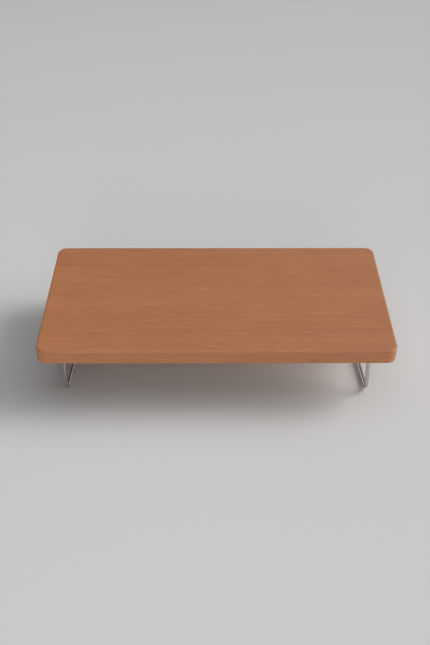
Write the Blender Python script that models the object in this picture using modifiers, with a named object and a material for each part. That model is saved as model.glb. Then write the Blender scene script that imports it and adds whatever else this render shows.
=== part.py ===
"""A low laptop stand: a wooden board on two bent steel rods.

Each rod is a loop with no top side: it drops from the board near the front edge, bends, lies along
the table, bends again and rises to the board near the rear edge. A small steel plate is welded on each
end of each rod, and two countersunk screws hold each plate to threaded inserts in the board's underside.
Thin saddles of soft plastic under the rods keep them from slipping and from marking the table.

Metres, +Z up. The origin is on the table, under the middle of the board. The front faces -Y.
"""

import math

import bmesh
import bpy

# The board.
BOARD_LENGTH = 0.540
BOARD_DEPTH = 0.275
BOARD_THICKNESS = 0.024
BOARD_CORNER_RADIUS = 0.015
BOARD_TOP_ROUND = 0.003
BOARD_BOTTOM_ROUND = 0.0015

# The legs. The setback and the inset run from the board's edges to the middle of a rod, at the underside.
CLEAR_HEIGHT = 0.084
LEG_SETBACK = 0.030
LEG_END_INSET = 0.0425
LEG_SPLAY = math.radians(2.25)
LEG_TOE_IN = math.radians(3.0)
ROD_DIAMETER = 0.006
ROD_BEND_RADIUS = 0.009

# The plates welded on the rods' ends. The web is the steel left above a countersink.
PLATE_LENGTH = 0.050
PLATE_WIDTH = 0.020
PLATE_WEB = 0.0007
PLATE_CORNER_RADIUS = 0.005
PLATE_RIM_CHAMFER = 0.0004
PLATE_SCREW_EDGE_DISTANCE = 0.008

# The screws, countersunk at 90 degrees, with a cross recess.
SCREW_DIAMETER = 0.004
SCREW_LENGTH = 0.012
SCREW_HEAD_DIAMETER = 0.008
SCREW_HEAD_LAND = 0.0003
SCREW_TIP_CHAMFER = 0.0006
RECESS_SPAN = 0.0042
RECESS_SLOT = 0.0009
RECESS_DEPTH = 0.0015

# The threaded inserts in the board.
INSERT_LENGTH = 0.010
INSERT_WALL = 0.0018
INSERT_RIDGE_HEIGHT = 0.0005
INSERT_RIDGE_COUNT = 4
INSERT_RIDGE_CREST = 0.7

# The anti-slip pads. The base is the plastic below the rod, and the lip is the top of each side.
PAD_LENGTH = 0.024
PAD_BASE = 0.0012
PAD_LIP = 0.0004
PAD_RIM_ROUND = 0.0005
PAD_SIDE_INSET = 0.0002
PAD_BEND_DISTANCE = 0.006

# Clearances.
TOUCH_GAP = 0.0003
SEAT_GAP = 0.0004
SINK = 0.0002
HOLE_END_GAP = 0.001
CUTTER_OVERRUN = 0.002

# How finely round shapes are divided.
CORNER_SEGMENTS = 10
BOARD_RIM_SEGMENTS = 4
BEND_SEGMENTS = 8
SMALL_ARC_SEGMENTS = 3
SADDLE_SEGMENTS = 8
TURN_STEPS = 16
ROD_BEVEL_RESOLUTION = 5

# Sizes that follow from the ones above.
ROD_RADIUS = ROD_DIAMETER / 2
LEG_SPAN = BOARD_DEPTH - 2 * LEG_SETBACK
RUNNER_HEIGHT = PAD_BASE + TOUCH_GAP + ROD_RADIUS
LEG_DROP = CLEAR_HEIGHT - RUNNER_HEIGHT
SCREW_HEAD_HEIGHT = (SCREW_HEAD_DIAMETER - SCREW_DIAMETER) / 2 + SCREW_HEAD_LAND
PLATE_THICKNESS = SCREW_HEAD_HEIGHT + PLATE_WEB
PLATE_DROP = TOUCH_GAP + PLATE_THICKNESS
SCREW_OFFSET = PLATE_LENGTH / 2 - PLATE_SCREW_EDGE_DISTANCE
SCREW_REACH = SCREW_LENGTH + SINK - PLATE_DROP
INSERT_BORE_RADIUS = SCREW_DIAMETER / 2 + TOUCH_GAP
INSERT_RADIUS = INSERT_BORE_RADIUS + INSERT_WALL
INSERT_HOLE_DEPTH = max(INSERT_LENGTH + SINK, SCREW_REACH) + HOLE_END_GAP
PAD_OFFSET = LEG_SPAN / 2 - ROD_BEND_RADIUS - PAD_BEND_DISTANCE - PAD_LENGTH / 2

SIDES = {"left": -1, "right": 1}
ENDS = {"front": -1, "rear": 1}
SCREW_PLACES = {"fore": -1, "aft": 1}

# Base colours, as linear red, green and blue.
WALNUT_COLOR = (0.36, 0.165, 0.080)
STEEL_COLOR = (0.62, 0.62, 0.63)
PLATE_COLOR = (0.50, 0.50, 0.52)
SCREW_COLOR = (0.66, 0.65, 0.62)
BRASS_COLOR = (0.78, 0.57, 0.25)
PLASTIC_COLOR = (0.55, 0.56, 0.57)


# ---------------------------------------------------------------------------
# Scene and mesh helpers


def clear_scene():
    for item in list(bpy.data.objects):
        bpy.data.objects.remove(item, do_unlink=True)


def new_collection(name):
    collection = bpy.data.collections.new(name)
    bpy.context.scene.collection.children.link(collection)
    return collection


def new_material(name, color, roughness, metallic):
    material = bpy.data.materials.new(name)
    material.use_nodes = True
    shader = material.node_tree.nodes["Principled BSDF"]
    shader.inputs["Base Color"].default_value = (*color, 1.0)
    shader.inputs["Roughness"].default_value = roughness
    shader.inputs["Metallic"].default_value = metallic
    return material


def dress(data, material):
    """Gives a mesh or a curve its only material, and hands it back."""
    data.materials.clear()
    data.materials.append(material)
    return data


def add_object(name, data, collection, parent=None, location=(0, 0, 0), rotation=(0, 0, 0)):
    """An object that holds this mesh or curve, placed in its parent's frame."""
    item = bpy.data.objects.new(name, data)
    collection.objects.link(item)
    item.parent = parent
    item.location = location
    item.rotation_euler = rotation
    return item


def add_cutter(name, data, cutters, parent=None, location=(0, 0, 0)):
    item = add_object(name, data, cutters, parent, location)
    item.hide_render = True
    item.display_type = "WIRE"
    return item


def shade_round(mesh):
    mesh.shade_smooth()
    mesh.set_sharp_from_angle(angle=math.radians(35))


def finished_mesh(item):
    """The object's mesh with its modifiers applied. The object itself is removed."""
    bpy.context.view_layer.update()
    graph = bpy.context.evaluated_depsgraph_get()
    mesh = bpy.data.meshes.new_from_object(item.evaluated_get(graph))
    mesh.name = item.name
    bpy.data.objects.remove(item, do_unlink=True)
    shade_round(mesh)
    return mesh


def subtract(item, cutters):
    """A Boolean that takes every object in the collection of cutters from this object."""
    cut = item.modifiers.new("cut", "BOOLEAN")
    cut.operation = "DIFFERENCE"
    cut.solver = "EXACT"
    cut.operand_type = "COLLECTION"
    cut.collection = cutters


def mesh_of(name, shape):
    mesh = bpy.data.meshes.new(name)
    shape.to_mesh(mesh)
    shape.free()
    shade_round(mesh)
    return mesh


def cylinder_mesh(name, radius, low, high):
    """A closed cylinder on the Z axis between two heights."""
    shape = bmesh.new()
    depth = high - low
    bmesh.ops.create_cone(
        shape, cap_ends=True, segments=2 * TURN_STEPS, radius1=radius, radius2=radius, depth=depth
    )
    bmesh.ops.translate(shape, vec=(0, 0, low + depth / 2), verts=shape.verts)
    return mesh_of(name, shape)


def box_mesh(name, size, centre=(0, 0, 0)):
    shape = bmesh.new()
    bmesh.ops.create_cube(shape, size=1.0)
    bmesh.ops.scale(shape, vec=size, verts=shape.verts)
    bmesh.ops.translate(shape, vec=centre, verts=shape.verts)
    return mesh_of(name, shape)


def bevel_edges(shape, edges, offset, segments):
    bmesh.ops.bevel(shape, geom=edges, offset=offset, segments=segments, profile=0.5, affect="EDGES")


def rim_edges(shape, height):
    """The edges between a slab's flat face at this height and its sides."""
    return [
        edge
        for edge in shape.edges
        if all(abs(corner.co.z - height) < 1e-6 for corner in edge.verts)
        and edge.calc_face_angle(0) > math.radians(60)
    ]


def rounded_slab(name, size, corner_radius, top_round, bottom_round, rim_segments):
    """A flat block with rounded plan corners and softened rims. Its underside is at height 0."""
    width, depth, thickness = size
    shape = bmesh.new()
    bmesh.ops.create_cube(shape, size=1.0)
    bmesh.ops.scale(shape, vec=size, verts=shape.verts)
    bmesh.ops.translate(shape, vec=(0, 0, thickness / 2), verts=shape.verts)
    upright = [edge for edge in shape.edges if edge.verts[0].co.z != edge.verts[1].co.z]
    bevel_edges(shape, upright, corner_radius, CORNER_SEGMENTS)
    bevel_edges(shape, rim_edges(shape, thickness), top_round, rim_segments)
    bevel_edges(shape, rim_edges(shape, 0.0), bottom_round, rim_segments)
    return mesh_of(name, shape)


def arc_points(centre, radius, start, end, segments):
    """Points on an arc between two angles, in radians anticlockwise from +X."""
    across, height = centre
    angles = [start + (end - start) * index / segments for index in range(segments + 1)]
    return [(across + radius * math.cos(angle), height + radius * math.sin(angle)) for angle in angles]


def turned_object(name, profile, collection, closed=False):
    """A profile of (radius, height) points, listed down its outer side, turned about the Z axis."""
    mesh = bpy.data.meshes.new(name)
    edges = [(index, index + 1) for index in range(len(profile) - 1)]
    if closed:
        edges.append((len(profile) - 1, 0))
    mesh.from_pydata([(radius, 0.0, height) for radius, height in profile], edges, [])
    item = add_object(name, mesh, collection)
    turn = item.modifiers.new("turn", "SCREW")
    turn.axis = "Z"
    turn.angle = 2 * math.pi
    turn.steps = TURN_STEPS
    turn.render_steps = TURN_STEPS
    turn.use_merge_vertices = True
    turn.merge_threshold = 1e-6
    return item


# ---------------------------------------------------------------------------
# The pieces, each in its own frame


def countersunk_profile(growth, top, bottom):
    """The outline of a countersunk screw whose head starts at height 0, grown by a clearance."""
    shank = SCREW_DIAMETER / 2 + growth
    head = SCREW_HEAD_DIAMETER / 2 + growth
    return [
        (0.0, top),
        (shank, top),
        (shank, SCREW_HEAD_HEIGHT),
        (head, SCREW_HEAD_LAND),
        (head, bottom),
        (0.0, bottom),
    ]


def screw_mesh(workshop):
    """A screw that points up, with its recessed head at height 0."""
    profile = countersunk_profile(0.0, SCREW_LENGTH, 0.0)
    shank = SCREW_DIAMETER / 2
    profile[1:2] = [(shank - SCREW_TIP_CHAMFER, SCREW_LENGTH), (shank, SCREW_LENGTH - SCREW_TIP_CHAMFER)]
    recess = new_collection("recess_cutters")
    depth = RECESS_DEPTH + CUTTER_OVERRUN
    centre = (0, 0, RECESS_DEPTH - depth / 2)
    add_cutter("recess_slot_x", box_mesh("recess_slot_x", (RECESS_SPAN, RECESS_SLOT, depth), centre), recess)
    add_cutter("recess_slot_y", box_mesh("recess_slot_y", (RECESS_SLOT, RECESS_SPAN, depth), centre), recess)
    item = turned_object("plate_screw", profile, workshop)
    subtract(item, recess)
    return finished_mesh(item)


def insert_mesh(workshop):
    """A ribbed sleeve that opens downwards at height 0."""
    root = INSERT_RADIUS - INSERT_RIDGE_HEIGHT
    pitch = INSERT_LENGTH / INSERT_RIDGE_COUNT
    profile = [(root, INSERT_LENGTH)]
    for index in range(INSERT_RIDGE_COUNT):
        profile.append((INSERT_RADIUS, INSERT_LENGTH - (index + INSERT_RIDGE_CREST) * pitch))
        profile.append((root, INSERT_LENGTH - (index + 1) * pitch))
    profile += [(INSERT_BORE_RADIUS, 0.0), (INSERT_BORE_RADIUS, INSERT_LENGTH)]
    return finished_mesh(turned_object("threaded_insert", profile, workshop, closed=True))


def plate_mesh(workshop):
    """A plate with a hole for the rod's end between two countersunk holes. Its underside is at height 0."""
    cutters = new_collection("plate_cutters")
    low = -CUTTER_OVERRUN
    high = PLATE_THICKNESS + CUTTER_OVERRUN
    add_cutter("rod_hole", cylinder_mesh("rod_hole", ROD_RADIUS + SEAT_GAP, low, high), cutters)
    profile = countersunk_profile(SEAT_GAP, high, low)
    hole = finished_mesh(turned_object("screw_hole", profile, workshop))
    for place, step in SCREW_PLACES.items():
        add_cutter(f"screw_hole_{place}", hole, cutters, location=(0, step * SCREW_OFFSET, SINK))
    size = (PLATE_WIDTH, PLATE_LENGTH, PLATE_THICKNESS)
    slab = rounded_slab("mount_plate", size, PLATE_CORNER_RADIUS, PLATE_RIM_CHAMFER, PLATE_RIM_CHAMFER, 1)
    item = add_object("mount_plate", slab, workshop)
    subtract(item, cutters)
    return finished_mesh(item)


def rod_curve():
    """A leg rod in its own plane: Y along the table, and Z up to the board's underside at height 0."""
    reach = LEG_SPAN / 2
    foot = -LEG_DROP / math.cos(LEG_SPLAY)
    bend_centre = (-reach + ROD_BEND_RADIUS, foot + ROD_BEND_RADIUS)
    front = [(-reach, -TOUCH_GAP - SEAT_GAP)]
    front += arc_points(bend_centre, ROD_BEND_RADIUS, math.pi, 1.5 * math.pi, BEND_SEGMENTS)
    rear = [(-across, height) for across, height in reversed(front)]
    curve = bpy.data.curves.new("leg_rod", "CURVE")
    curve.dimensions = "3D"
    curve.bevel_depth = ROD_RADIUS
    curve.bevel_resolution = ROD_BEVEL_RESOLUTION
    curve.use_fill_caps = True
    spline = curve.splines.new("POLY")
    spline.points.add(len(front + rear) - 1)
    for point, (across, height) in zip(spline.points, front + rear):
        point.co = (0.0, across, height, 1.0)
    return curve


def pad_curve():
    """A pad's outline across the rod, X sideways and Y up from the table, extruded along the rod."""
    side = ROD_RADIUS - PAD_SIDE_INSET
    saddle_radius = ROD_RADIUS + TOUCH_GAP
    lip_angle = math.acos((side - PAD_LIP) / saddle_radius)
    saddle = arc_points(
        (0.0, RUNNER_HEIGHT), saddle_radius, -math.pi + lip_angle, -lip_angle, SADDLE_SEGMENTS
    )
    lip_height = saddle[0][1]
    corner = side - PAD_RIM_ROUND
    outline = arc_points(
        (corner, PAD_RIM_ROUND), PAD_RIM_ROUND, 0.0, -math.pi / 2, SMALL_ARC_SEGMENTS
    )
    outline += arc_points(
        (-corner, PAD_RIM_ROUND), PAD_RIM_ROUND, -math.pi / 2, -math.pi, SMALL_ARC_SEGMENTS
    )
    outline += [(-side, lip_height), *saddle, (side, lip_height)]
    curve = bpy.data.curves.new("foot_pad", "CURVE")
    curve.dimensions = "2D"
    curve.fill_mode = "BOTH"
    curve.extrude = PAD_LENGTH / 2
    spline = curve.splines.new("POLY")
    spline.points.add(len(outline) - 1)
    spline.use_cyclic_u = True
    for point, (across, height) in zip(spline.points, outline):
        point.co = (across, height, 0.0, 1.0)
    return curve


# ---------------------------------------------------------------------------
# The assembly


def leg_frame(side_name, side, parts):
    """An empty at the middle of a leg, level with the board's underside and turned by the toe-in."""
    place = (side * (BOARD_LENGTH / 2 - LEG_END_INSET), 0, CLEAR_HEIGHT)
    frame = add_object(f"leg_frame_{side_name}", None, parts, location=place)
    frame.rotation_euler = (0, 0, side * LEG_TOE_IN)
    return frame


def build_board(parts, cutters, frames):
    """The board, with a blind hole for each threaded insert."""
    size = (BOARD_LENGTH, BOARD_DEPTH, BOARD_THICKNESS)
    slab = rounded_slab(
        "board", size, BOARD_CORNER_RADIUS, BOARD_TOP_ROUND, BOARD_BOTTOM_ROUND, BOARD_RIM_SEGMENTS
    )
    board = add_object("board", slab, parts, location=(0, 0, CLEAR_HEIGHT))
    hole = cylinder_mesh("insert_hole", INSERT_RADIUS + TOUCH_GAP, -CUTTER_OVERRUN, INSERT_HOLE_DEPTH)
    for side_name, frame in frames.items():
        for end_name, end in ENDS.items():
            for place_name, step in SCREW_PLACES.items():
                name = f"insert_hole_{side_name}_{end_name}_{place_name}"
                place = (0, end * LEG_SPAN / 2 + step * SCREW_OFFSET, 0)
                add_cutter(name, hole, cutters, frame, place)
    subtract(board, cutters)
    return board


def build_leg(side_name, side, frame, parts, shapes):
    """A rod with its two plates, and the screws, inserts and pads that belong to it."""
    lean = (0, -side * LEG_SPLAY, 0)
    add_object(f"leg_rod_{side_name}", shapes["rod"], parts, frame, rotation=lean)
    for end_name, end in ENDS.items():
        where = f"{side_name}_{end_name}"
        along = end * LEG_SPAN / 2
        pad_place = (side * LEG_DROP * math.tan(LEG_SPLAY), end * PAD_OFFSET, -CLEAR_HEIGHT)
        add_object(f"foot_pad_{where}", shapes["pad"], parts, frame, pad_place, (math.pi / 2, 0, 0))
        add_object(f"mount_plate_{where}", shapes["plate"], parts, frame, (0, along, -PLATE_DROP))
        for place_name, step in SCREW_PLACES.items():
            name = f"{where}_{place_name}"
            spot = along + step * SCREW_OFFSET
            add_object(f"plate_screw_{name}", shapes["screw"], parts, frame, (0, spot, SINK - PLATE_DROP))
            add_object(f"threaded_insert_{name}", shapes["insert"], parts, frame, (0, spot, SINK))


def main():
    clear_scene()
    parts = new_collection("laptop_stand")
    cutters = new_collection("cutters")
    workshop = new_collection("workshop")
    shapes = {
        "rod": dress(rod_curve(), new_material("polished_steel", STEEL_COLOR, 0.18, 1.0)),
        "plate": dress(plate_mesh(workshop), new_material("plate_steel", PLATE_COLOR, 0.35, 1.0)),
        "screw": dress(screw_mesh(workshop), new_material("screw_steel", SCREW_COLOR, 0.30, 1.0)),
        "insert": dress(insert_mesh(workshop), new_material("brass", BRASS_COLOR, 0.35, 1.0)),
        "pad": dress(pad_curve(), new_material("soft_plastic", PLASTIC_COLOR, 0.60, 0.0)),
    }
    frames = {name: leg_frame(name, side, parts) for name, side in SIDES.items()}
    board = build_board(parts, cutters, frames)
    dress(board.data, new_material("walnut", WALNUT_COLOR, 0.50, 0.0))
    for name, side in SIDES.items():
        build_leg(name, side, frames[name], parts, shapes)


main()
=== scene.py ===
"""The visual model of a low laptop stand: an oiled wooden board on two legs of bent polished rod."""

import logging
import math
from collections.abc import Callable, Iterable, Sequence
from dataclasses import dataclass
from enum import Enum

import bmesh
import bpy
from mathutils import Matrix, Vector


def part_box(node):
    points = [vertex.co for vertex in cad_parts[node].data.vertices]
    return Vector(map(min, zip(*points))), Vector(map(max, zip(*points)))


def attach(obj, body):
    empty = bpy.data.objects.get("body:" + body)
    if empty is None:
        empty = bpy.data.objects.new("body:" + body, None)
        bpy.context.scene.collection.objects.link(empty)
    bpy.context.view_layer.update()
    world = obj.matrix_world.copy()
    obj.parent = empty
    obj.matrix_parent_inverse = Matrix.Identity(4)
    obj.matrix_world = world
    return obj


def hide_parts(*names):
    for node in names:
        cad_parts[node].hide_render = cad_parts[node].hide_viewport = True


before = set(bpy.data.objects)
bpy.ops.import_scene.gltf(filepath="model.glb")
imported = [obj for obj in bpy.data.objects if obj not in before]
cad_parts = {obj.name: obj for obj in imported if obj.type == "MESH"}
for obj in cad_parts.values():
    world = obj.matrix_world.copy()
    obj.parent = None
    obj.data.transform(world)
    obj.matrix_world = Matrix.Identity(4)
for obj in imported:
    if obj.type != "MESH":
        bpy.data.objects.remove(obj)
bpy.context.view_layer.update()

LOG = logging.getLogger("laptop_stand")
MM = 0.001
DOUBLES = 1e-7

Color = tuple[float, float, float]
Triple = tuple[float, float, float]
Pair = tuple[float, float]
Outline = list[Pair]
Values = dict[object, object]
Mesh = bpy.types.Mesh
Material = bpy.types.Material
Socket = bpy.types.NodeSocket
Shape = bmesh.types.BMesh


class Side(Enum):
    """The two legs, with the sign of their X."""

    LEFT = -1
    RIGHT = 1


class End(Enum):
    """The two ends of a leg, with the sign of their Y."""

    FRONT = -1
    REAR = 1


class Place(Enum):
    """The two screws of a plate, with the sign of their Y from the plate's middle."""

    FORE = -1
    AFT = 1


# ---- Node trees


def operator(operation: str, swapped: bool = False) -> Callable[["Signal", "Signal | float"], "Signal"]:
    """A method that adds a Math node on a Signal and another term, with the two swapped if asked."""

    def apply(first: "Signal", second: "Signal | float") -> "Signal":
        """The result of the operation."""
        terms = (second, first) if swapped else (first, second)
        return first.math(operation, *terms)

    return apply


class Signal:
    """A number that flows from one node to the next. An expression on it adds Math nodes."""

    __add__, __radd__ = operator("ADD"), operator("ADD", True)
    __sub__, __rsub__ = operator("SUBTRACT"), operator("SUBTRACT", True)
    __mul__, __rmul__ = operator("MULTIPLY"), operator("MULTIPLY", True)
    __truediv__, __pow__ = operator("DIVIDE"), operator("POWER")
    at_least, at_most = operator("MAXIMUM"), operator("MINIMUM")
    bearing = operator("ARCTAN2")

    def __init__(self, bench: "Bench", socket: Socket) -> None:
        """Wraps an output socket of the bench's tree."""
        self.bench = bench
        self.socket = socket

    def math(self, operation: str, *terms: "Signal | float") -> "Signal":
        """Adds one Math node that takes the terms in order, or this alone if there are none."""
        sockets = dict(enumerate(terms or (self,)))
        return Signal(self.bench, self.bench.out("ShaderNodeMath", {"operation": operation}, sockets))

    def between(self, low: float, high: float) -> "Signal":
        """A smooth step from 0 at low to 1 at high. High may be the lesser, for a step down."""
        settings = {"interpolation_type": "SMOOTHSTEP"}
        sockets = {0: self, 1: low, 2: high, 3: 0.0, 4: 1.0}
        return Signal(self.bench, self.bench.out("ShaderNodeMapRange", settings, sockets))


class Bench:
    """A node tree under construction."""

    def __init__(self, tree: bpy.types.NodeTree) -> None:
        """Starts on a tree."""
        self.tree = tree

    def add(self, kind: str, settings: Values | None = None, sockets: Values | None = None) -> bpy.types.Node:
        """Adds any node.

        Args:
            kind: The node's type name.
            settings: Its own settings, set first.
            sockets: What each input takes, by name or index: a value, a Signal or an output socket.

        Returns:
            The node.
        """
        node = self.tree.nodes.new(kind)
        for name, value in (settings or {}).items():
            setattr(node, name, value)
        for key, value in (sockets or {}).items():
            self.feed(node.inputs[key], value)
        return node

    def out(
        self, kind: str, settings: Values | None = None, sockets: Values | None = None, output: int | str = 0
    ) -> Socket:
        """Adds any node and gives one of its outputs."""
        return self.add(kind, settings, sockets).outputs[output]

    def axes(self, vector: Socket) -> tuple[Signal, Signal, Signal]:
        """A vector's three numbers."""
        node = self.add("ShaderNodeSeparateXYZ", sockets={0: vector})
        return tuple(Signal(self, output) for output in node.outputs)

    def vector(self, x: Signal | float = 0.0, y: Signal | float = 0.0, z: Signal | float = 0.0) -> Socket:
        """Three numbers as one vector."""
        return self.out("ShaderNodeCombineXYZ", sockets={0: x, 1: y, 2: z})

    def feed(self, socket: Socket, value: object) -> None:
        """Links a Signal or a socket to an input, or sets the input's own value."""
        value = value.socket if isinstance(value, Signal) else value
        if isinstance(value, Socket):
            self.tree.links.new(value, socket)
        else:
            socket.default_value = value


class Pattern(Bench):
    """The nodes of a material, with what surface patterns need."""

    def coordinates(self) -> Socket:
        """The point in the object's own frame, in metres."""
        return self.out("ShaderNodeTexCoord", output="Object")

    def attribute(self, name: str) -> Socket:
        """A vector that the mesh carries under this name."""
        return self.out("ShaderNodeAttribute", {"attribute_name": name}, output="Vector")

    def noise(
        self, place: Socket, sizes: Triple, shift: Triple = (0.0, 0.0, 0.0),
        detail: float = 2.0, roughness: float = 0.5,
    ) -> Signal:
        """Soft noise whose patches have a given size along each axis.

        Args:
            place: The point.
            sizes: A patch's size along X, Y and Z, in the point's units.
            shift: How far the pattern is moved, in patches.
            detail: How many finer layers are added.
            roughness: How strong each finer layer is.

        Returns:
            The noise, mostly from 0.3 to 0.7 about 0.5.
        """
        scale = tuple(1.0 / size for size in sizes)
        moved = self.out("ShaderNodeMapping", sockets={"Vector": place, "Location": shift, "Scale": scale})
        sockets = {"Vector": moved, "Scale": 1.0, "Detail": detail, "Roughness": roughness}
        return Signal(self, self.out("ShaderNodeTexNoise", sockets=sockets))

    def bands(self, along: Signal) -> Signal:
        """Uneven bands along a number, each about 1 wide, with the strength of noise()."""
        sockets = {"W": along, "Scale": 1.0, "Detail": 3.0, "Roughness": 0.55}
        return Signal(self, self.out("ShaderNodeTexNoise", {"noise_dimensions": "1D"}, sockets))

    def blend(self, share: Signal | float, first: object, second: object) -> Socket:
        """A colour from the first, at a share of 0, to the second, at 1. Each is a colour or a socket."""
        sockets = {0: share, 6: self.solid(first), 7: self.solid(second)}
        return self.out("ShaderNodeMix", {"data_type": "RGBA"}, sockets, 2)

    def ramp(self, share: Signal, stops: Sequence[tuple[float, Color]]) -> Socket:
        """The colour that a ramp of (position, colour) stops gives for a number."""
        node = self.add("ShaderNodeValToRGB", sockets={0: share})
        elements = node.color_ramp.elements
        while len(elements) < len(stops):
            elements.new(1.0)
        for element, (position, color) in zip(elements, stops):
            element.position = position
            element.color = (*color, 1.0)
        return node.outputs[0]

    @staticmethod
    def solid(color: object) -> object:
        """A plain colour with its fourth number. A socket stays as it is."""
        return (*color, 1.0) if isinstance(color, tuple) else color

    def relief(self, height: Signal, depth: float) -> Socket:
        """A normal that follows a height, where 1 stands for a depth in metres."""
        return self.out("ShaderNodeBump", sockets={"Height": height, "Distance": depth, "Strength": 1.0})


class ShapeTree(Bench):
    """A Geometry Nodes tree with named inputs, run on a mesh to give a plain mesh."""

    def __init__(self, name: str, sizes: dict[str, object]) -> None:
        """Makes the tree's interface.

        Args:
            name: The tree's name.
            sizes: The value of each input, by its name with underscores: a float, an int or an object.
        """
        super().__init__(bpy.data.node_groups.new(name, "GeometryNodeTree"))
        interface = self.tree.interface
        for way in ("INPUT", "OUTPUT"):
            interface.new_socket("Geometry", in_out=way, socket_type="NodeSocketGeometry")
        kinds = {float: "NodeSocketFloat", int: "NodeSocketInt", bpy.types.Object: "NodeSocketObject"}
        self.values = {}
        for label, value in sizes.items():
            title = label.replace("_", " ").title()
            socket = interface.new_socket(title, in_out="INPUT", socket_type=kinds[type(value)])
            self.values[socket.identifier] = value
        self.source = self.add("NodeGroupInput")

    def given(self, label: str) -> Signal:
        """A named input of the tree."""
        return Signal(self, self.source.outputs[label])

    def position(self) -> tuple[Signal, Signal, Signal]:
        """The three coordinates of each point."""
        return self.axes(self.out("GeometryNodeInputPosition"))

    def circle(self, steps: str, radius: str) -> Socket:
        """A circle whose steps and radius are named inputs."""
        sockets = {"Resolution": self.given(steps), "Radius": self.given(radius)}
        return self.out("GeometryNodeCurvePrimitiveCircle", sockets=sockets)

    def store(self, shape: Socket, name: str, value: Socket) -> Socket:
        """A shape that carries a vector under a name at each of its points."""
        settings = {"data_type": "FLOAT_VECTOR", "domain": "POINT"}
        sockets = {"Geometry": shape, "Name": name, "Value": value}
        return self.out("GeometryNodeStoreNamedAttribute", settings, sockets)

    def copies(self, points: Socket, part: Socket, turn: object) -> Socket:
        """A copy of a part at each point, turned by the same angles or by a field of them."""
        sockets = {"Points": points, "Instance": part, "Rotation": turn}
        return self.out("GeometryNodeInstanceOnPoints", sockets=sockets)

    def end(self, shape: Socket, material: Material) -> None:
        """Realizes the shape's instances, gives it its material and hands it to the output."""
        real = self.out("GeometryNodeRealizeInstances", sockets={0: shape})
        dressed = self.out("GeometryNodeSetMaterial", sockets={0: real, "Material": material})
        self.add("NodeGroupOutput", sockets={0: dressed})

    def run(self, name: str, mesh: Mesh) -> Mesh:
        """Runs the tree on a mesh.

        Args:
            name: The new mesh's name.
            mesh: What the tree takes as its geometry.

        Returns:
            The result as a plain mesh.
        """
        item = new_object(name, mesh)
        modifier = item.modifiers.new("shape", "NODES")
        modifier.node_group = self.tree
        for identifier, value in self.values.items():
            modifier[identifier] = value
        made = evaluated_mesh(item)
        made.name = name
        for index in reversed(range(len(made.materials))):
            if made.materials[index] is None:
                made.materials.pop(index=index)
        return made


# ---- Meshes and objects


def new_object(name: str, data: bpy.types.ID) -> bpy.types.Object:
    """An object in the scene, at the origin."""
    item = bpy.data.objects.new(name, data)
    bpy.context.scene.collection.objects.link(item)
    return item


def evaluated_mesh(item: bpy.types.Object) -> Mesh:
    """A plain mesh of what an object's modifiers give. The object is removed."""
    bpy.context.view_layer.update()
    graph = bpy.context.evaluated_depsgraph_get()
    made = bpy.data.meshes.new_from_object(item.evaluated_get(graph))
    item.modifiers.clear()
    bpy.data.objects.remove(item)
    return made


def shade(mesh: Mesh, angle: float = 35.0) -> Mesh:
    """Shades a mesh smooth, with creases sharper than an angle in degrees."""
    mesh.shade_smooth()
    mesh.set_sharp_from_angle(angle=math.radians(angle))
    return mesh


def mesh_from(name: str, shape: Shape) -> Mesh:
    """A mesh from a shape, which is freed. Its doubles are merged and its faces turned outwards."""
    bmesh.ops.remove_doubles(shape, verts=shape.verts, dist=DOUBLES)
    bmesh.ops.recalc_face_normals(shape, faces=shape.faces)
    mesh = bpy.data.meshes.new(name)
    shape.to_mesh(mesh)
    shape.free()
    return mesh


def joined(name: str, copies: Iterable[tuple[Mesh, Matrix]]) -> Mesh:
    """One mesh of several, each moved by its matrix.

    Args:
        name: The new mesh's name.
        copies: Each mesh with where it goes.

    Returns:
        The mesh, with the first one's materials.
    """
    shape = bmesh.new()
    materials = []
    for mesh, matrix in copies:
        materials = materials or list(mesh.materials)
        moved = mesh.copy()
        moved.transform(matrix)
        shape.from_mesh(moved)
        bpy.data.meshes.remove(moved)
    made = mesh_from(name, shape)
    for material in materials:
        made.materials.append(material)
    return made


def rim_edges(shape: Shape, height: float) -> list[bmesh.types.BMEdge]:
    """The edges between a slab's flat face at this height and its sides."""
    near, crease = 1e-6, math.radians(60)
    level = [edge for edge in shape.edges if all(abs(corner.co.z - height) < near for corner in edge.verts)]
    return [edge for edge in level if edge.calc_face_angle(0) > crease]


def bevel(shape: Shape, edges: list[bmesh.types.BMEdge], width: float, segments: int) -> None:
    """Rounds edges of a shape."""
    bmesh.ops.bevel(shape, geom=edges, offset=width, segments=segments, profile=0.5, affect="EDGES")


def rounded_slab(
    name: str, size: Triple, corner: tuple[float, int], top: tuple[float, int], bottom: tuple[float, int]
) -> Mesh:
    """A flat block with rounded plan corners and softened rims. Its underside is at height 0.

    Args:
        name: The mesh's name.
        size: Its length along X, depth along Y and thickness.
        corner: The plan corners' radius and segments.
        top: The upper rim's radius and segments.
        bottom: The lower rim's radius and segments.

    Returns:
        The mesh.
    """
    shape = bmesh.new()
    bmesh.ops.create_cube(shape, size=1.0)
    bmesh.ops.scale(shape, vec=size, verts=shape.verts)
    bmesh.ops.translate(shape, vec=(0, 0, size[2] / 2), verts=shape.verts)
    upright = [edge for edge in shape.edges if edge.verts[0].co.z != edge.verts[1].co.z]
    bevel(shape, upright, *corner)
    bevel(shape, rim_edges(shape, size[2]), *top)
    bevel(shape, rim_edges(shape, 0.0), *bottom)
    return mesh_from(name, shape)


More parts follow.
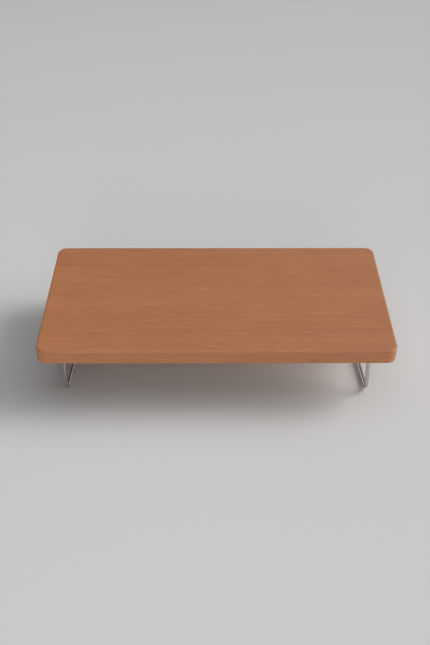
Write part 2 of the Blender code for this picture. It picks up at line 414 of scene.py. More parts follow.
@dataclass(frozen=True)
class Thread:
    """A helical groove in a turned shape, between two heights."""

    pitch: float
    depth: float
    low: float
    high: float
    flank: float = 1.4

    def dip(self, height: float, turn: float) -> float:
        """How far the groove cuts in.

        Args:
            height: The height of the point.
            turn: Its angle, in turns.

        Returns:
            The depth there, from 0 on a crest to the full depth.
        """
        if not self.low <= height <= self.high:
            return 0.0
        fade = min(1.0, (height - self.low) / self.pitch, (self.high - height) / self.pitch)
        phase = (height / self.pitch - turn) % 1.0
        return self.depth * fade * (1.0 - abs(2.0 * phase - 1.0) ** self.flank)


def bridge(shape: Shape, rings: Sequence[Sequence[bmesh.types.BMVert]], steps: int) -> None:
    """Joins each ring of corners to the next by a band of faces. A ring of one corner is a pole."""
    for lower, upper in zip(rings, rings[1:]):
        for step in range(steps):
            after = (step + 1) % steps
            corners = [lower[step % len(lower)], lower[after % len(lower)]]
            corners += [upper[after % len(upper)], upper[step % len(upper)]]
            unique = list(dict.fromkeys(corners))
            if len(unique) > 2:
                shape.faces.new(unique)


def turned_mesh(
    name: str, outline: Outline, steps: int,
    dip: Callable[[float, float, float], float] | None = None, sleeve: bool = False,
) -> Mesh:
    """An outline turned about the Z axis.

    Args:
        name: The mesh's name.
        outline: Its (radius, height) points.
        steps: How many steps the turn has.
        dip: How far the surface moves in, from a point's radius, height and angle in turns.
        sleeve: Whether the outline closes on itself. Otherwise both ends are capped.

    Returns:
        The mesh, closed.
    """
    if not sleeve:
        outline = [(0.0, outline[0][1]), *outline, (0.0, outline[-1][1])]
    shape = bmesh.new()
    rings = []
    for radius, height in outline:
        ring = []
        for step in range(steps if radius else 1):
            turn = step / steps
            reach = radius - (dip(radius, height, turn) if dip else 0.0)
            angle = math.tau * turn
            ring.append(shape.verts.new((reach * math.cos(angle), reach * math.sin(angle), height)))
        rings.append(ring)
    if sleeve:
        rings.append(rings[0])
    bridge(shape, rings, steps)
    return shade(mesh_from(name, shape))


def arc(centre: Pair, radius: float, start: float, turn: float, steps: int) -> Outline:
    """Points along an arc, with its start and its turn in radians."""
    angles = [start + turn * step / steps for step in range(steps + 1)]
    return [(centre[0] + radius * math.cos(angle), centre[1] + radius * math.sin(angle)) for angle in angles]


def levels(low: float, high: float, count: int) -> list[float]:
    """Evenly spaced heights between two, both ends left out."""
    return [low + (high - low) * index / count for index in range(1, count)]


def cut_away(mesh: Mesh, cutters: Iterable[Mesh]) -> Mesh:
    """Takes the cutters' volume out of a mesh.

    Args:
        mesh: The mesh that is cut.
        cutters: Closed meshes, in the same frame.

    Returns:
        A new mesh.
    """
    item = new_object("blank", mesh)
    tools = []
    for number, cutter in enumerate(cutters):
        tool = new_object(f"cutter_{number}", cutter)
        cut = item.modifiers.new("cut", "BOOLEAN")
        cut.operation = "DIFFERENCE"
        cut.solver = "EXACT"
        cut.object = tool
        tools.append(tool)
    made = evaluated_mesh(item)
    for tool in tools:
        bpy.data.objects.remove(tool)
    return made


def even_normals(mesh: Mesh) -> Mesh:
    """A new mesh whose large flat faces are shaded evenly beside their rounded rims."""
    item = new_object("shaded", shade(mesh))
    item.modifiers.new("even", "WEIGHTED_NORMAL").keep_sharp = True
    return evaluated_mesh(item)


def plan_map(mesh: Mesh) -> None:
    """Gives a mesh a UV map of its own X and Y, in millimetres from its origin."""
    layer = mesh.uv_layers.new(name="plan")
    for loop in mesh.loops:
        place = mesh.vertices[loop.vertex_index].co
        layer.data[loop.index].uv = (place.x / MM, place.y / MM)


def foot(node: str) -> Vector:
    """The middle of the underside of a CAD node's box."""
    low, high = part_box(node)
    centre = (low + high) / 2
    centre.z = low.z
    return centre


def hand_over(
    name: str, mesh: Mesh, nodes: Sequence[str], material: Material | None = None
) -> None:
    """Makes a finished piece of a mesh that is in place.

    Args:
        name: The piece's name.
        mesh: Its mesh, in the frame of the object.
        nodes: The CAD nodes that it stands for.
        material: Its material, if the mesh has none yet.
    """
    if material:
        mesh.materials.clear()
        mesh.materials.append(material)
    mesh.name = name
    piece = new_object(name, mesh)
    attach(piece, "root")
    if nodes:
        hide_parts(*nodes)
    LOG.info("%s: %d faces, stands for %s", name, len(mesh.polygons), ", ".join(nodes) or "no CAD node")


# ---- Finishes

Look = tuple[Socket, Signal | float, Signal | float]


@dataclass(frozen=True)
class Finish:
    """A material made of nodes."""

    name: str
    metallic: float = 0.0
    specular: float = 0.5
    depth: float = 0.0

    def make(self) -> Material:
        """The material, with one Principled shader."""
        material = bpy.data.materials.new(self.name)
        material.use_nodes = True
        pattern = Pattern(material.node_tree)
        color, roughness, height = self.paint(pattern)
        values = {"Base Color": color, "Roughness": roughness, "Metallic": self.metallic}
        values["Specular IOR Level"] = self.specular
        if self.depth:
            values["Normal"] = pattern.relief(height, self.depth)
        for name, value in values.items():
            pattern.feed(material.node_tree.nodes["Principled BSDF"].inputs[name], value)
        return material

    def paint(self, pattern: Pattern) -> Look:
        """The colour, the roughness and the height, of which 1 stands for the depth in metres."""
        raise NotImplementedError


@dataclass(frozen=True)
class OiledWood(Finish):
    """Reddish-brown wood with a fine straight grain along X, oiled to a soft sheen."""

    name: str = "oiled_wood"
    specular: float = 0.36
    depth: float = 0.00006
    dark: Color = (0.340, 0.127, 0.055)
    body: Color = (0.433, 0.173, 0.077)
    light: Color = (0.535, 0.230, 0.107)
    pore: Color = (0.170, 0.060, 0.026)
    pith: Pair = (0.045, -0.165)
    ring_width: float = 0.0055
    stave_width: float = 0.0785
    stave_start: float = -0.1375

    def paint(self, pattern: Pattern) -> Look:
        """Growth rings about a far axis, fibre streaks, flecks and pores."""
        place = pattern.coordinates()
        along, across, up = pattern.axes(place)
        stave = ((across - self.stave_start) / self.stave_width).math("FLOOR")
        wander = pattern.noise(place, (0.30, 0.060, 0.060), detail=1.0) - 0.5
        ripple = pattern.noise(place, (0.060, 0.012, 0.012), detail=1.0) - 0.5
        out = (across - self.pith[0] + 0.021 * stave) ** 2.0 + (up - self.pith[1]) ** 2.0
        radius = out ** 0.5 + 0.012 * wander + 0.0010 * ripple + 0.010 * along
        rings = pattern.bands(radius / self.ring_width + 7.3 * stave) - 0.5
        cloud = pattern.noise(place, (0.160, 0.040, 0.040), (9.0, 2.0, 4.0)) - 0.5
        fibre = pattern.noise(place, (0.040, 0.0010, 0.0010), detail=3.0, roughness=0.6) - 0.5
        fleck = pattern.noise(place, (0.016, 0.0005, 0.0005), (3.0, 5.0, 7.0), detail=1.0) - 0.5
        streak = pattern.noise(place, (0.034, 0.0016, 0.0016), (6.0, 1.0, 8.0), detail=1.0) - 0.5
        tone = 0.5 + 0.26 * rings + 0.52 * fibre + 0.24 * cloud + 0.30 * fleck
        tone = tone + 0.20 * streak.between(0.13, 0.22) - 0.16 * streak.between(-0.13, -0.22)
        color = pattern.ramp(tone, [(0.22, self.dark), (0.50, self.body), (0.80, self.light)])
        grit = pattern.noise(place, (0.0085, 0.00028, 0.00028), (1.0, 8.0, 3.0), detail=1.0)
        pores = grit.between(0.640, 0.740) * (0.8 + 0.7 * rings)
        color = pattern.blend(0.55 * pores, color, self.pore)
        rough = 0.46 + 0.20 * fibre + 0.14 * pores
        return color, rough, 0.35 * fibre + 0.15 * fleck - 0.9 * pores


@dataclass(frozen=True)
class PolishedSteel(Finish):
    """Polished rod, with hairlines along it and faint smears."""

    name: str = "polished_steel"
    metallic: float = 1.0
    depth: float = 0.000004
    steel: Color = (0.60, 0.60, 0.61)
    shade: Color = (0.47, 0.47, 0.48)
    rod_radius: float = 0.003

    def paint(self, pattern: Pattern) -> Look:
        """Hairlines follow the rod by the frame that its mesh carries."""
        round_x, round_y, _ = pattern.axes(pattern.attribute("around"))
        length, _, _ = pattern.axes(pattern.attribute("along"))
        skin = pattern.vector(round_x * self.rod_radius, round_y * self.rod_radius, length)
        hairs = pattern.noise(skin, (0.00016, 0.00016, 0.012))
        smear = pattern.noise(skin, (0.004, 0.004, 0.020), (5.0, 1.0, 2.0))
        mark = pattern.noise(skin, (0.0005, 0.0005, 0.0016), (2.0, 6.0, 1.0), detail=1.0).between(0.70, 0.78)
        color = pattern.blend(0.5 * smear + 0.6 * mark, self.steel, self.shade)
        rough = 0.10 + 0.10 * smear.between(0.42, 0.68) + 0.05 * hairs + 0.12 * mark
        return color, rough, 0.6 * hairs - 0.6 * mark


@dataclass(frozen=True)
class PlateSteel(Finish):
    """Steel plate brushed along its length, with heat tints round the weld."""

    name: str = "plate_steel"
    metallic: float = 1.0
    depth: float = 0.000012
    steel: Color = (0.50, 0.50, 0.515)
    straw: Color = (0.50, 0.385, 0.215)
    violet: Color = (0.285, 0.235, 0.315)
    worn: Color = (0.36, 0.36, 0.37)
    straw_edge: Pair = (9.5, 6.8)
    violet_edge: Pair = (7.0, 5.4)

    def paint(self, pattern: Pattern) -> Look:
        """The plan map, in millimetres, gives the brushing and the distance from the weld."""
        plan = pattern.out("ShaderNodeUVMap", {"uv_map": "plan"})
        side, along, _ = pattern.axes(plan)
        brush = pattern.noise(plan, (0.09, 7.0, 1.0), detail=3.0, roughness=0.6)
        stain = pattern.noise(plan, (2.5, 3.5, 1.0), (4.0, 4.0, 0.0))
        reach = (side ** 2.0 + along ** 2.0) ** 0.5 + 1.6 * (stain - 0.5)
        color = pattern.blend(reach.between(*self.straw_edge), self.steel, self.straw)
        color = pattern.blend(reach.between(*self.violet_edge), color, self.violet)
        color = pattern.blend(0.5 * brush.between(0.45, 0.75), color, self.worn)
        return color, 0.30 + 0.22 * brush + 0.10 * stain, brush


@dataclass(frozen=True)
class SpeckledMetal(Finish):
    """A small metal part with a finely mottled skin."""

    name: str = "screw_zinc"
    metallic: float = 1.0
    depth: float = 0.000010
    metal: Color = (0.63, 0.63, 0.60)
    stain: Color = (0.46, 0.47, 0.46)
    grain: float = 0.0006
    roughness: float = 0.28

    def paint(self, pattern: Pattern) -> Look:
        """Two layers of mottling, with a grain that can be felt."""
        place = pattern.coordinates()
        patch = pattern.noise(place, (4 * self.grain,) * 3)
        speck = pattern.noise(place, (self.grain / 3,) * 3, (2.0, 3.0, 5.0))
        color = pattern.blend(patch.between(0.35, 0.70), self.metal, self.stain)
        return color, self.roughness - 0.09 + 0.22 * patch + 0.10 * speck, speck


@dataclass(frozen=True)
class SoftPlastic(Finish):
    """Cloudy soft plastic with a matt moulded skin."""

    name: str = "soft_plastic"
    specular: float = 0.4
    depth: float = 0.00002
    plastic: Color = (0.52, 0.53, 0.54)
    dust: Color = (0.41, 0.40, 0.385)
    dust_height: float = 0.0011

    def paint(self, pattern: Pattern) -> Look:
        """A spark-eroded grain, with a darker tone in patches towards the bottom."""
        place = pattern.coordinates()
        _, _, up = pattern.axes(place)
        grain = pattern.noise(place, (0.00022,) * 3)
        patch = pattern.noise(place, (0.0022,) * 3, (1.0, 2.0, 3.0), detail=3.0)
        # Darker in patches within a small height of the bottom of the pad.
        low = up.between(self.dust_height, 0.0) * patch.between(0.35, 0.65)
        color = pattern.blend(0.7 * low + 0.2 * patch, self.plastic, self.dust)
        return color, 0.52 + 0.16 * patch + 0.10 * grain, grain


@dataclass(frozen=True)
class StudioFloor(Finish):
    """A plain pale matt floor with a very faint unevenness."""

    name: str = "studio_floor"
    specular: float = 0.2
    pale: Color = (0.65, 0.65, 0.654)
    wear: float = 0.985
    patch: float = 0.9

    def paint(self, pattern: Pattern) -> Look:
        """Wide, weak patches only."""
        patch = pattern.noise(pattern.coordinates(), (self.patch,) * 3)
        return pattern.blend(patch, self.pale, tuple(part * self.wear for part in self.pale)), 0.75, 0.0


# ---- The board


@dataclass
class BoardPanel:
    """The wooden board, with a blind hole in its underside for each threaded insert."""

    corner_radius: float = 0.015
    top_round: float = 0.003
    bottom_round: float = 0.0015
    corner_segments: int = 20
    rim_segments: int = 7
    hole_radius: float = 0.0044
    hole_depth: float = 0.0112
    hole_steps: int = 40
    overrun: float = 0.002

    def hole(self, insert: str) -> Mesh:
        """The cutter for the hole of an insert's CAD node, in place."""
        outline = [(self.hole_radius, self.hole_depth), (self.hole_radius, -self.overrun)]
        mesh = turned_mesh("insert_hole", outline, self.hole_steps)
        mesh.transform(Matrix.Translation((*foot(insert).xy, foot("board").z)))
        return mesh

    def build(self) -> Mesh:
        """The board's mesh, in place."""
        low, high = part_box("board")
        slab = rounded_slab(
            "board_panel", tuple(high - low), (self.corner_radius, self.corner_segments),
            (self.top_round, self.rim_segments), (self.bottom_round, self.rim_segments),
        )
        slab.transform(Matrix.Translation(foot("board")))
        inserts = [node for node in sorted(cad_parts) if node.startswith("threaded_insert")]
        return even_normals(cut_away(slab, [self.hole(insert) for insert in inserts]))

    def dress(self) -> None:
        """Builds the board and hands it over."""
        hand_over("board_panel", self.build(), ["board"], OiledWood().make())


# ---- The legs


@dataclass
class MachineScrew:
    """A countersunk machine screw with a cross recess and a cut thread. It points up from height 0."""

    diameter: float = 0.004
    length: float = 0.012
    head_diameter: float = 0.008
    head_land: float = 0.0003
    head_edge: float = 0.00012
    pitch: float = 0.0007
    thread_depth: float = 0.00042
    tip: float = 0.0006
    recess_span: float = 0.0042
    recess_slot: float = 0.0009
    recess_depth: float = 0.0015
    recess_taper: Pair = (0.55, 0.8)
    steps: int = 28
    rings_in_pitch: int = 6

    def build(self) -> Mesh:
        """The screw's mesh.

        Returns:
            A closed mesh.
        """
        shank = self.diameter / 2
        head = self.head_diameter / 2
        neck = head - shank + self.head_land
        outline = [(head - self.head_edge, 0.0), (head, self.head_edge)]
        outline += [(head, self.head_land), (shank, neck)]
        end = self.length - self.tip
        count = round((self.length - neck) / self.pitch * self.rings_in_pitch)
        outline += [(shank, height) for height in levels(neck, end, count)]
        outline += [(shank, end), (shank - self.tip, self.length)]
        thread = Thread(self.pitch, self.thread_depth, neck, end)
        mesh = turned_mesh("machine_screw", outline, self.steps, lambda _, z, turn: thread.dip(z, turn))
        return shade(cut_away(mesh, self.recess()), 28.0)

    def recess(self) -> list[Mesh]:
        """The two tapered bars that cut the cross recess."""
        bars = []
        for quarter in (0, 1):
            shape = bmesh.new()
            bmesh.ops.create_cube(shape, size=1.0)
            for corner in shape.verts:
                deep = corner.co.z > 0
                corner.co.x *= self.recess_span * (self.recess_taper[0] if deep else 1.0)
                corner.co.y *= self.recess_slot * (self.recess_taper[1] if deep else 1.0)
                corner.co.z = self.recess_depth if deep else -self.recess_depth / 4
            bar = mesh_from(f"recess_{quarter}", shape)
            bar.transform(Matrix.Rotation(quarter * math.pi / 2, 4, "Z"))
            bars.append(bar)
        return bars


@dataclass
class ThreadedInsert:
    """A brass sleeve with a coarse thread outside and a fine one in its bore. It opens down at height 0."""

    length: float = 0.010
    bore_radius: float = 0.0023
    radius: float = 0.0041
    coarse_pitch: float = 0.0025
    coarse_depth: float = 0.0005
    fine_pitch: float = 0.0007
    fine_depth: float = 0.00025
    chamfer: float = 0.0003
    steps: int = 32
    rings: int = 60

    def build(self) -> Mesh:
        """The insert's mesh.

        Returns:
            A closed sleeve.
        """
        end = self.length - self.chamfer
        coarse = Thread(self.coarse_pitch, self.coarse_depth, self.chamfer, end)
        fine = Thread(self.fine_pitch, self.fine_depth, self.chamfer, end)
        heights = [self.chamfer, *levels(self.chamfer, end, self.rings), end]
        inner, outer = self.bore_radius + self.chamfer, self.radius - self.chamfer
        outline = [(inner, 0.0), (outer, 0.0), *((self.radius, height) for height in heights)]
        outline += [(outer, self.length), (inner, self.length)]
        outline += [(self.bore_radius, height) for height in reversed(heights)]
        middle_radius = (self.bore_radius + self.radius) / 2

        def dip(radius: float, height: float, turn: float) -> float:
            """The groove's depth outside, or minus its depth in the bore."""
            return coarse.dip(height, turn) if radius > middle_radius else -fine.dip(height, turn)

        return turned_mesh("threaded_insert", outline, self.steps, dip, sleeve=True)


@dataclass
class MountPlate:
    """A small steel plate with a hole for the rod between two countersunk holes. Its underside is at 0."""

    length: float = 0.050
    width: float = 0.020
    thickness: float = 0.003
    corner_radius: float = 0.005
    corner_segments: int = 12
    rim: float = 0.0004
    rim_segments: int = 3
    rod_hole: float = 0.0034
    screw_offset: float = 0.017
    screw_radius: float = 0.0024
    head_radius: float = 0.0044
    head_land: float = 0.0005
    head_height: float = 0.0025
    overrun: float = 0.002
    steps: int = 48

    def build(self) -> Mesh:
        """The plate's mesh.

        Returns:
            A closed mesh with a plan map.
        """
        size = (self.width, self.length, self.thickness)
        rim = (self.rim, self.rim_segments)
        slab = rounded_slab("mount_plate", size, (self.corner_radius, self.corner_segments), rim, rim)
        top = self.thickness + self.overrun
        rod = [(self.rod_hole, top), (self.rod_hole, -self.overrun)]
        cutters = [turned_mesh("rod_hole", rod, self.steps)]
        screw = [(self.screw_radius, top), (self.screw_radius, self.head_height)]
        screw += [(self.head_radius, self.head_land), (self.head_radius, -self.overrun)]
        for place in Place:
            hole = turned_mesh("screw_hole", screw, self.steps)
            hole.transform(Matrix.Translation((0.0, place.value * self.screw_offset, 0.0)))
            cutters.append(hole)
        plate = even_normals(cut_away(slab, cutters))
        plan_map(plate)
        return plate


@dataclass
class WeldBead:
    """The rippled bead between a plate's underside, at height 0, and the rod that comes out of it."""

    rod_radius: float = 0.003
    throat: float = 0.0017
    ripple: float = 0.11
    ripples: float = 26.0
    ripple_lean: float = 500.0
    weld_distance: float = 2e-6
    steps: int = 208
    section_steps: int = 28

    def build(self, material: Material) -> Mesh:
        """The bead's mesh, from a ring whose section is trimmed to the corner and rippled along the seam.

        Args:
            material: What the bead is made of.

        Returns:
            A closed ring.
        """
        tree = ShapeTree("weld_bead", vars(self))
        seam, section = tree.circle("Steps", "Rod Radius"), tree.circle("Section Steps", "Throat")
        ring = tree.out("GeometryNodeCurveToMesh", sockets={"Curve": seam, "Profile Curve": section})
        x, y, z = tree.position()
        angle = y.bearing(x)
        reach = (x * x + y * y) ** 0.5
        phase = angle * tree.given("Ripples") / 2.0 + z * tree.given("Ripple Lean")
        swell = 1.0 - tree.given("Ripple") * phase.math("SINE").math("ABSOLUTE")
        rod = tree.given("Rod Radius")
        reach = (rod + (reach - rod) * swell).at_least(rod)
        down = (z * swell).at_most(0.0)
        place = tree.vector(reach * angle.math("COSINE"), reach * angle.math("SINE"), down)
        shaped = tree.out("GeometryNodeSetPosition", sockets={0: ring, "Position": place})
        sockets = {0: shaped, "Distance": tree.given("Weld Distance")}
        tree.end(tree.out("GeometryNodeMergeByDistance", sockets=sockets), material)
        return shade(tree.run("weld_bead", bpy.data.meshes.new("seed")), 50.0)


@dataclass
class FootPad:
    """A thin saddle of soft plastic under the rod, with grooves across its sole. Its length is along Y."""

    length: float = 0.024
    side: float = 0.0028
    lip: float = 0.0004
    rim: float = 0.0005
    least_rim: float = 0.0001
    rod_height: float = 0.0045
    saddle_radius: float = 0.0033
    end_round: float = 0.0018
    end_narrowing: float = 0.6
    end_lift: float = 0.22
    groove_pitch: float = 0.0020
    groove_radius: float = 0.00035
    grooves: int = 10
    bar_length: float = 0.010
    bar_sides: int = 12
    saddle_steps: int = 14
    rim_steps: int = 5
    end_steps: int = 6

    def outline(self, side: float, lift: float) -> Outline:
        """The pad's section, X sideways and Y up.

        Args:
            side: Half its width.
            lift: How high its sole is.

        Returns:
            The points, anticlockwise.
        """
        rim = max(self.rim - lift, self.least_rim)
        quarter = -math.pi / 2
        sole = arc((side - rim, lift + rim), rim, 0.0, quarter, self.rim_steps)
        sole += arc((rim - side, lift + rim), rim, quarter, quarter, self.rim_steps)
        edge = math.acos((side - self.lip) / self.saddle_radius)
        sweep = math.pi - 2 * edge
        saddle = arc((0.0, self.rod_height), self.saddle_radius, edge - math.pi, sweep, self.saddle_steps)
        return [*sole, (-side, saddle[0][1]), *saddle, (side, saddle[-1][1])]

    def body(self) -> Mesh:
        """The pad without its grooves.

        Returns:
            A closed mesh with rounded ends.
        """
        stations = []
        for step in range(self.end_steps + 1):
            angle = math.pi / 2 * step / self.end_steps
            inset = self.end_round * (1 - math.sin(angle))
            along = self.length / 2 - self.end_round * (1 - math.cos(angle))
            side, lift = self.side - self.end_narrowing * inset, self.end_lift * inset
            stations += [(-along, side, lift), (along, side, lift)]
        shape = bmesh.new()
        loops = [
            [shape.verts.new((x, along, z)) for x, z in self.outline(side, lift)]
            for along, side, lift in sorted(stations)
        ]
        bridge(shape, loops, len(loops[0]))
        shape.faces.new(loops[0])
        shape.faces.new(loops[-1])
        return mesh_from("pad_body", shape)

    def build(self, material: Material) -> Mesh:
        """The pad, with its grooves cut by a row of round bars.

        Args:
            material: What the pad is made of.

        Returns:
            A closed mesh.
        """
        sizes = {name: value for name, value in vars(self).items() if name.startswith(("groove", "bar"))}
        tree = ShapeTree("foot_pad", sizes)
        pitch, count = tree.given("Groove Pitch"), tree.given("Grooves")
        first, step = tree.vector(y=pitch * (count - 1.0) * -0.5), tree.vector(y=pitch)
        sockets = {"Count": count, "Start Location": first, "Offset": step}
        row = tree.out("GeometryNodeMeshLine", sockets=sockets)
        sockets = {"Vertices": tree.given("Bar Sides"), "Radius": tree.given("Groove Radius")}
        bar = tree.out("GeometryNodeMeshCylinder", sockets=sockets | {"Depth": tree.given("Bar Length")})
        bars = tree.copies(row, bar, (0.0, math.pi / 2, 0.0))
        sockets = {
            "Mesh 1": tree.source.outputs[0],
            "Mesh 2": tree.out("GeometryNodeRealizeInstances", sockets={0: bars}),
        }
        settings = {"operation": "DIFFERENCE", "solver": "EXACT"}
        tree.end(tree.out("GeometryNodeMeshBoolean", settings, sockets), material)
        cut = tree.run("foot_pad", self.body())
        return shade(joined("foot_pad", [(cut, Matrix())]), 40.0)


@dataclass
class LegRod:
    """The bent rod of a leg."""

    rod_radius: float = 0.003
    bend_radius: float = 0.009
    bend_steps: int = 18
    sides: int = 40

    def build(self, path: Sequence[Vector], material: Material) -> Mesh:
        """The rod's mesh. It carries how far along and which way round each point is.

        Args:
            path: The four points where the rod's straight lengths start, meet and end.
            material: What the rod is made of.

        Returns:
            A closed mesh, in the path's frame.
        """
        tree = ShapeTree("leg_rod", vars(self))
        line = tree.out("GeometryNodeMeshToCurve", sockets={0: tree.source.outputs[0]})
        sockets = {"Curve": line, "Radius": tree.given("Bend Radius"), "Count": tree.given("Bend Steps")}
        bent = tree.out("GeometryNodeFilletCurve", {"mode": "POLY"}, sockets)
        length = tree.out("GeometryNodeSplineParameter", output="Length")
        marked = tree.store(bent, "along", tree.vector(length))
        sockets = {0: tree.out("GeometryNodeInputPosition")}
        outward = tree.out("ShaderNodeVectorMath", {"operation": "NORMALIZE"}, sockets)
        section = tree.store(tree.circle("Sides", "Rod Radius"), "around", outward)
        sockets = {"Curve": marked, "Profile Curve": section, "Fill Caps": True}
        tree.end(tree.out("GeometryNodeCurveToMesh", sockets=sockets), material)
        seed = bpy.data.meshes.new("rod_path")
        seed.from_pydata([tuple(point) for point in path], [(0, 1), (1, 2), (2, 3)], [])
        return shade(tree.run("leg_rod", seed))


def scatter(name: str, template: Mesh, places: Sequence[Vector], material: Material, seed: int) -> Mesh:
    """A copy of a small part at each place, each turned about Z by its own random angle.

    Args:
        name: The mesh's name.
        template: The part, with its foot at the origin.
        places: Where the copies go.
        material: What they are made of.
        seed: The random turns' seed.

    Returns:
        One mesh of all the copies.
    """
    part = new_object(f"{name}_template", template)
    tree = ShapeTree(name, {"part": part, "seed": seed, "most_turn": math.tau})
    model = tree.out("GeometryNodeObjectInfo", sockets={"Object": tree.given("Part")}, output="Geometry")
    sockets = {2: 0.0, 3: tree.given("Most Turn"), "Seed": tree.given("Seed")}
    turn = tree.out("FunctionNodeRandomValue", {"data_type": "FLOAT"}, sockets, 1)
    tree.end(tree.copies(tree.source.outputs[0], model, tree.vector(z=turn)), material)
    points = bpy.data.meshes.new("places")
    points.from_pydata([tuple(place) for place in places], [], [])
    made = tree.run(name, points)
    bpy.data.objects.remove(part)
    return made


@dataclass
class SledLeg:
    """One leg: a bent rod, two welded plates with their screws and inserts, and two pads."""

    side: Side
    finishes: dict[str, Material]
    runner_height: float = 0.0045
    end_gap: float = 0.0007
    seed: int = 7

    def name(self, kind: str, *words: Enum) -> str:
        """The name of one of this leg's CAD nodes or pieces."""
        return "_".join([kind, self.side.name.lower(), *(word.name.lower() for word in words)])

    def place(self) -> Matrix:
        """The leg's frame, from between the plates at the board's underside, with Y to the rear."""
        front, rear = (foot(self.name("mount_plate", end)) for end in End)
        rearward = (rear - front).normalized()
        centre = (front + rear) / 2
        centre.z = foot("board").z
        turn = math.atan2(-rearward.x, rearward.y)
        return Matrix.Translation(centre) @ Matrix.Rotation(turn, 4, "Z")

    def local(self, node: str) -> Vector:
        """The middle of the underside of a CAD node, in the leg's frame."""
        return self.place().inverted() @ foot(node)

    def rod_path(self) -> list[Vector]:
        """The rod's four corner points in the leg's frame."""
        reach = self.local(self.name("mount_plate", End.REAR)).y
        outward = self.local(self.name("foot_pad", End.REAR)).x
        low, top = self.runner_height - foot("board").z, -self.end_gap
        lean = outward * top / low
        corners = [(lean, -reach, top), (outward, -reach, low), (outward, reach, low), (lean, reach, top)]
        return [Vector(corner) for corner in corners]

    def build_rod(self) -> None:
        """Makes the rod."""
        mesh = LegRod().build(self.rod_path(), self.finishes["polished_steel"])
        mesh.transform(self.place())
        hand_over(self.name("rod"), mesh, [self.name("leg_rod")])

    def build_plates(self) -> None:
        """Makes the plates and the weld beads."""
        bead = WeldBead().build(self.finishes["weld_steel"])
        top, low = self.rod_path()[:2]
        beads = []
        for end in End:
            node = self.name("mount_plate", end)
            spot = self.local(node)
            plate = MountPlate().build()
            plate.transform(self.place() @ Matrix.Translation(spot))
            hand_over(self.name("plate", end), plate, [node], self.finishes["plate_steel"])
            lean = (low - top) * ((spot.z - top.z) / (low.z - top.z))
            beads.append((bead, self.place() @ Matrix.Translation(spot + Vector((top.x + lean.x, 0, 0)))))
        name = self.name("weld_beads")
        hand_over(name, shade(joined(name, beads), 50.0), [])

    def build_fasteners(self) -> None:
        """Makes the screws and the inserts."""
        for kind, part, slot, finish in (
            ("plate_screw", MachineScrew(), "screw_steel", "screw_zinc"),
            ("threaded_insert", ThreadedInsert(), "brass", "insert_brass"),
        ):
            nodes = [self.name(kind, end, place) for end in End for place in Place]
            name = self.name(f"{kind}s")
            spots = [foot(node) for node in nodes]
            mesh = scatter(name, part.build(), spots, self.finishes[finish], self.seed + self.side.value)
            hand_over(name, mesh, nodes)

    def build_pads(self) -> None:
        """Makes the pads."""
        for end in End:
            node = self.name("foot_pad", end)
            mesh = FootPad().build(self.finishes["soft_plastic"])
            mesh.transform(self.place() @ Matrix.Translation(self.local(node)))
            hand_over(self.name("pad", end), mesh, [node])

    def dress(self) -> None:
        """Builds every piece of the leg and hands it over."""
        self.build_rod()
        self.build_plates()
        self.build_fasteners()
        self.build_pads()


# ---- The studio


@dataclass(frozen=True)
class SoftLight:
    """A soft light aimed at the object: a square panel, or a wide far source if it has no distance.

    Its bearing runs from the right round to the front, and its height is above the horizon, in degrees.
    Its size is a panel's side, or a far source's width in degrees. Its power is in watts, or in watts a
    square metre from a far source.
    """

    name: str
    bearing: float
    height: float
    distance: float
    size: float
    power: float
    color: Color = (1.0, 1.0, 1.0)

    def direction(self) -> Vector:
        """The unit vector from the object to the light."""
        bearing, height = math.radians(self.bearing), math.radians(self.height)
        level = math.cos(height)
        return Vector((level * math.cos(bearing), -level * math.sin(bearing), math.sin(height)))

    def hang(self) -> None:
        """Puts the light in the scene."""
        data = bpy.data.lights.new(self.name, "AREA" if self.distance else "SUN")
        if self.distance:
            data.shape = "SQUARE"
            data.size = self.size
        else:
            data.angle = math.radians(self.size)
        data.energy = self.power
        data.color = self.color
        lamp = new_object(self.name, data)
        lamp.location = self.direction() * (self.distance or 1.0)
        lamp.rotation_euler = self.direction().to_track_quat("Z", "Y").to_euler()
        lamp.visible_camera = False


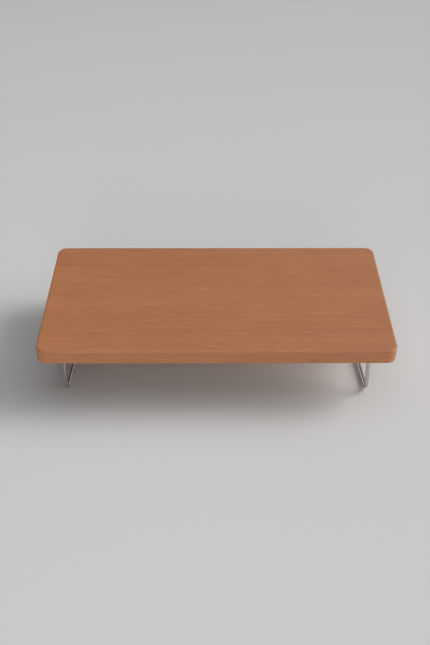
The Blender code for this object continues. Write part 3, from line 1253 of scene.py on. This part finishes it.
@dataclass
class Studio:
    """The floor, the soft lights and the camera."""

    floor_radius: float = 14.0
    wall: Color = (0.38, 0.39, 0.40)
    ceiling: Color = (0.02, 0.02, 0.02)
    wall_top: float = 0.42
    camera_place: Triple = (-0.0078, -1.1202, 0.9526)
    camera_turns: Triple = (-0.295, 51.218, 0.129)
    camera_lens: float = 48.88
    lights: tuple[SoftLight, ...] = (
        SoftLight("key_light", -17.0, 38.5, 0.0, 30.0, 1.92, (1.0, 0.98, 0.965)),
        SoftLight("side_light", 5.0, 18.0, 0.0, 22.0, 1.15, (1.0, 0.95, 0.90)),
        SoftLight("front_light", 90.0, 28.0, 3.0, 2.2, 20.0, (0.90, 1.0, 1.03)),
        SoftLight("low_light", 88.0, 11.0, 0.0, 20.0, 0.60, (1.0, 0.91, 0.80)),
        SoftLight("top_light", 0.0, 89.0, 2.4, 2.4, 14.6, (0.97, 1.0, 1.01)),
        SoftLight("back_light", -68.0, 37.0, 7.0, 3.5, 27.0),
        SoftLight("left_edge_light", -142.0, 9.0, 0.0, 16.0, 0.15),
        SoftLight("right_edge_light", -38.0, 9.0, 0.0, 16.0, 0.10),
    )

    def build_floor(self) -> None:
        """Lays the floor."""
        shape = bmesh.new()
        bmesh.ops.create_circle(shape, cap_ends=True, segments=96, radius=self.floor_radius)
        mesh = mesh_from("studio_floor", shape)
        mesh.materials.append(StudioFloor().make())
        new_object("studio_floor", mesh)

    def build_room(self) -> None:
        """Surrounds the studio with a pale wall, which darkens into the ceiling."""
        world = bpy.data.worlds.new("studio_room")
        world.use_nodes = True
        pattern = Pattern(world.node_tree)
        _, _, up = pattern.axes(pattern.out("ShaderNodeTexCoord", output="Generated"))
        color = pattern.blend(up.between(0.0, self.wall_top), self.wall, self.ceiling)
        pattern.feed(world.node_tree.nodes["Background"].inputs["Color"], color)
        bpy.context.scene.world = world

    def build_camera(self) -> None:
        """Sets the camera up, turned in order by its yaw, pitch and roll."""
        data = bpy.data.cameras.new("camera")
        data.lens = self.camera_lens
        camera = new_object("camera", data)
        turn = Matrix.Identity(4)
        for angle, axis in zip(self.camera_turns, "ZXZ"):
            turn @= Matrix.Rotation(math.radians(angle), 4, axis)
        camera.matrix_world = Matrix.Translation(self.camera_place) @ turn
        bpy.context.scene.camera = camera

    def build(self) -> None:
        """Sets the whole studio up."""
        bpy.context.scene.view_settings.view_transform = "Standard"
        self.build_floor()
        self.build_room()
        for light in self.lights:
            light.hang()
        self.build_camera()
        LOG.info("studio: %d lights", len(self.lights))


def finishes() -> dict[str, Material]:
    """Every finish of the legs, by name."""
    made = [
        PolishedSteel(),
        PlateSteel(),
        SpeckledMetal(),
        SpeckledMetal(
            "weld_steel", metal=(0.42, 0.41, 0.42), stain=(0.24, 0.21, 0.22), grain=0.0009, roughness=0.36
        ),
        SpeckledMetal(
            "insert_brass", metal=(0.72, 0.51, 0.22), stain=(0.55, 0.37, 0.15), grain=0.0008, roughness=0.30
        ),
        SoftPlastic(),
    ]
    return {finish.name: finish.make() for finish in made}


def main() -> None:
    """Builds the object and the studio."""
    logging.basicConfig(level=logging.INFO, format="%(name)s: %(message)s")
    Studio().build()
    BoardPanel().dress()
    made = finishes()
    for side in Side:
        SledLeg(side, made).dress()


if __name__ == "__main__":
    main()
